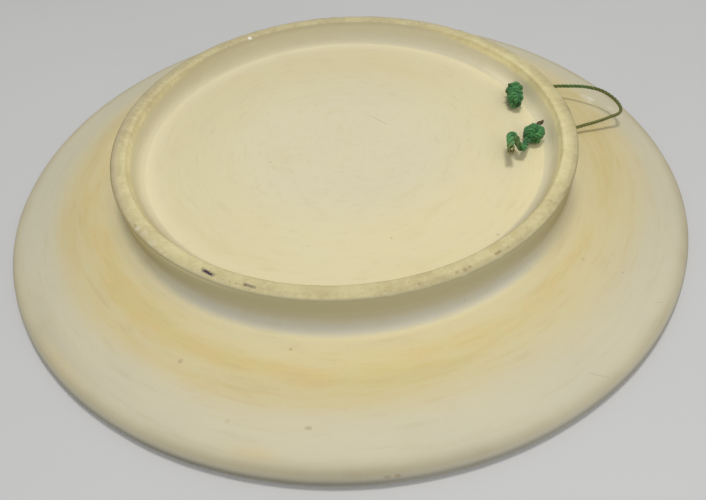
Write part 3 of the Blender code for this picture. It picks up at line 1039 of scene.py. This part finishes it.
def biscuit(graph):
    """Unglazed fired clay: cream, rubbed with ochre, worn and marked."""
    place = graph.node("ShaderNodeTexCoord").outputs["Object"]
    flat = graph.vector("MULTIPLY", place, (1.0, 1.0, 0.0))
    radius = graph.measure("LENGTH", flat)
    bearing = graph.vector("NORMALIZE", flat)
    lathe = graph.node("ShaderNodeCombineXYZ", {"Z": radius})
    turning = graph.vector("ADD", graph.scale(bearing, 0.018), lathe.outputs["Vector"])

    stain, warm, chalky, wall_colour_and_shade, grime, worn_top, shade_and_soil = map(graph.attribute, PAINTED)
    broad = graph.noise(place, 13.0, 3.0)
    mottle = graph.noise(place, 55.0, 4.0, 0.6)
    streaks = graph.noise(turning, 330.0, 4.0, 0.65)
    wide_streaks = graph.noise(turning, 90.0, 3.0, 0.6)
    grain = graph.noise(place, 900.0, 3.0, 0.6)

    pale = graph.mix(graph.fit(broad, 0.35, 0.65), srgb(216, 208, 180), srgb(212, 206, 181))
    cream = graph.mix(graph.fit(broad, 0.3, 0.7), srgb(223, 213, 172), srgb(224, 212, 169))
    creamy = graph.times(warm, graph.fit(wide_streaks, 0.2, 0.7, 0.85, 1.1))
    rubbed = graph.times(stain, graph.fit(wide_streaks, 0.28, 0.72, 0.60, 1.40))
    rubbed = graph.times(rubbed, graph.fit(streaks, 0.3, 0.7, 0.80, 1.20), clamp=True)
    ochre = graph.mix(graph.fit(mottle, 0.35, 0.65), srgb(219, 203, 145), srgb(222, 200, 142))
    # The walls' darker colour, browner where warm: largely painted shade.
    wall = graph.mix(warm, srgb(190, 182, 145), srgb(180, 164, 110))
    olive = graph.mix(graph.fit(mottle, 0.35, 0.65), srgb(210, 200, 152), srgb(196, 184, 136))
    grimy = graph.times(grime, graph.fit(mottle, 0.3, 0.7, 0.45, 0.65))
    ring_noise = graph.noise(place, 260.0, 4.0, 0.6)
    rubbed_bare = graph.times(worn_top, graph.fit(ring_noise, 0.46, 0.70, 0.0, 0.45))
    pits = graph.noise(place, 700.0, 3.0, 0.6)
    pitted = graph.times(worn_top, graph.fit(pits, 0.54, 0.76, 0.0, 0.42))
    colour = graph.layers(
        pale, (creamy, cream), (rubbed, ochre), (chalky, srgb(211, 206, 186)),
        (graph.fit(streaks, 0.50, 0.80, 0.0, 0.22), srgb(188, 170, 126)),
        (graph.fit(mottle, 0.55, 0.85, 0.0, 0.30), srgb(205, 195, 160)),
        (graph.fit(wide_streaks, 0.50, 0.78, 0.0, 0.22), srgb(206, 192, 146)),
        (wall_colour_and_shade, wall), (worn_top, olive), (grimy, srgb(176, 164, 130)),
        (rubbed_bare, srgb(221, 209, 165)), (pitted, srgb(160, 144, 98)))
    # The painted brightness, partly soiling and partly painted light and shade, darkens or lightens
    # the colour.
    dimmed = graph.node("ShaderNodeCombineColor", {0: shade_and_soil, 1: shade_and_soil, 2: shade_and_soil})
    colour = graph.mix(1.0, colour, dimmed.outputs["Color"], "MULTIPLY")

    group = stroke_group()
    ragged = graph.noise(place, 900.0, 2.0, 0.5, "Color")
    shifted = graph.vector("SUBTRACT", ragged, (0.5, 0.5, 0.5))
    torn = graph.vector("ADD", place, graph.scale(shifted, 0.0013))
    colour = graph.layers(
        colour, (strokes(graph, group, torn, INK_MARKS), srgb(52, 38, 62)),
        (strokes(graph, group, torn, BROWN_MARKS), srgb(128, 100, 68)),
        (strokes(graph, group, place, SCRATCHES), srgb(146, 130, 102)),
        (strokes(graph, group, torn, BARE_SPOTS), srgb(232, 228, 216)))

    specks = graph.node("ShaderNodeTexVoronoi", {"Vector": place, "Scale": 95.0})
    chosen = graph.node("ShaderNodeSeparateColor", {0: specks.outputs["Color"]})
    here = graph.math("GREATER_THAN", chosen.outputs[0], 0.93)
    dots = graph.fit(specks.outputs["Distance"], 0.075, 0.03)
    dots = graph.times(graph.times(here, dots), 0.35)
    colour = graph.mix(dots, colour, srgb(140, 116, 84))

    lines = graph.noise(turning, 700.0, 2.0, 0.6)
    height = graph.math("ADD", graph.times(lines, 0.5), graph.times(grain, 0.4))
    pocks = graph.math("ADD", pitted, graph.times(rubbed_bare, 0.6))
    height = graph.math("SUBTRACT", height, pocks)
    return {"Base Color": colour, "Specular IOR Level": 0.25,
            "Roughness": graph.fit(grain, 0.3, 0.7, 0.78, 0.92),
            "Normal": graph.bump(height, 0.5, 0.0004)}


def green_cord(graph):
    """Green twisted yarn that fades to olive, with frayed tan and scorched ends, painted shade
    between the strands, and a painted dark brown shade where the cord goes into the lower hole.
    """
    spread = graph.node("ShaderNodeUVMap", uv_map="UVMap").outputs["UV"]
    parts = graph.node("ShaderNodeSeparateXYZ", {0: spread})
    place = graph.node("ShaderNodeTexCoord").outputs["Object"]
    fade, burnt, tone, crest = map(graph.attribute, ("fade", "burnt", "tone", "crest"))
    along, around = parts.outputs["X"], parts.outputs["Y"]
    slant = graph.math("ADD", graph.times(along, 0.9), around)
    fibres = graph.node("ShaderNodeCombineXYZ", {
        "X": graph.times(slant, 9.0), "Y": graph.times(along, 0.35)}).outputs["Vector"]
    yarn = graph.noise(fibres, 1.0, 4.0, 0.7)
    fluff = graph.noise(place, 1600.0, 3.0, 0.6)

    green = graph.mix(graph.fit(tone, 0.1, 0.9), srgb(24, 98, 44), srgb(98, 174, 98))
    green = graph.mix(graph.fit(yarn, 0.35, 0.68), graph.mix(0.5, green, srgb(18, 60, 18)), green)
    olive = graph.mix(graph.fit(yarn, 0.35, 0.65), srgb(84, 80, 26), srgb(134, 128, 58))
    tan = graph.mix(graph.fit(tone, 0.35, 0.75), srgb(170, 136, 84), srgb(208, 192, 138))
    colour = graph.layers(green, (graph.fit(fade, 0.05, 0.85), olive),
                          (graph.fit(fade, 0.80, 0.98), tan),
                          (graph.fit(fluff, 0.45, 0.75, 0.0, 0.35), srgb(120, 176, 108)))
    # Painted shade between the strands, where they dip towards the core.
    groove_shade = graph.mix(0.75, colour, srgb(20, 46, 10))
    colour = graph.mix(graph.fit(crest, 0.60, 0.96), groove_shade, colour)
    colour = graph.mix(burnt, colour, srgb(78, 58, 34))
    relief = graph.bump(fluff, 0.35, 0.00006, Normal=graph.bump(yarn, 0.55, 0.00012))
    return {"Base Color": colour, "Roughness": 0.72, "Specular IOR Level": 0.35,
            "Sheen Weight": 0.25, "Sheen Roughness": 0.45, "Normal": relief}


# ---- studio ----


def pale_floor(graph):
    """A plain matt grey."""
    cloud = graph.noise(graph.node("ShaderNodeTexCoord").outputs["Object"], 3.0, 2.0)
    colour = graph.mix(graph.fit(cloud, 0.3, 0.7), srgb(196, 196, 196), srgb(199, 199, 199))
    return {"Base Color": colour, "Roughness": 0.9, "Specular IOR Level": 0.1}


def make_floor():
    """A plain pale floor, 0.1 mm under the plate."""
    bpy.ops.mesh.primitive_plane_add(size=6.0, location=(0.0, 0.0, -0.0001))
    floor = bpy.context.object
    floor.name = "floor"
    floor.data.materials.append(new_material("pale_floor", pale_floor))


def make_lamp(name, location, size, power):
    """A round soft lamp aimed at the plate. Its place and size are in metres."""
    data = bpy.data.lights.new(name, "AREA")
    data.shape = "DISK"
    data.size = size
    data.energy = power
    data.color = LAMP_COLOUR
    lamp = add_object(name, data)
    lamp.location = location
    lamp.rotation_euler = (-Vector(location)).to_track_quat("-Z", "Y").to_euler()


def make_light():
    """One overhead lamp, a weak wide one from the front right, and a pale sky."""
    make_lamp("overhead", (0.08, 0.0, 1.5), size=0.36, power=9.9)
    make_lamp("front", (0.25, -0.9, 0.9), size=1.0, power=4.4)
    world = bpy.data.worlds.new("studio")
    bpy.context.scene.world = world
    world.use_nodes = True
    background = world.node_tree.nodes["Background"]
    background.inputs["Color"].default_value = SKY_COLOUR
    background.inputs["Strength"].default_value = SKY_STRENGTH
    bpy.context.scene.view_settings.view_transform = "Standard"


def main():
    """Make every piece, hide the construction parts that they replace, and light them."""
    make_camera()
    yarn = new_material("green_cord", green_cord)
    cord, line = make_hanging_cord(yarn)
    upper_knot = make_upper_knot(yarn)
    lower_knot = make_lower_knot(yarn)
    tail = make_tail(yarn)
    for piece, node in ((cord, "hanging_cord"), (upper_knot, "cord_knot_upper"),
                        (lower_knot, "cord_knot_lower"), (tail, "cord_tail")):
        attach(piece, "root")
        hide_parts(node)

    plate = make_plate(new_material("biscuit", biscuit))
    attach(plate, "root")
    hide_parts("plate")

    make_floor()
    make_light()
    bpy.context.view_layer.update()


main()
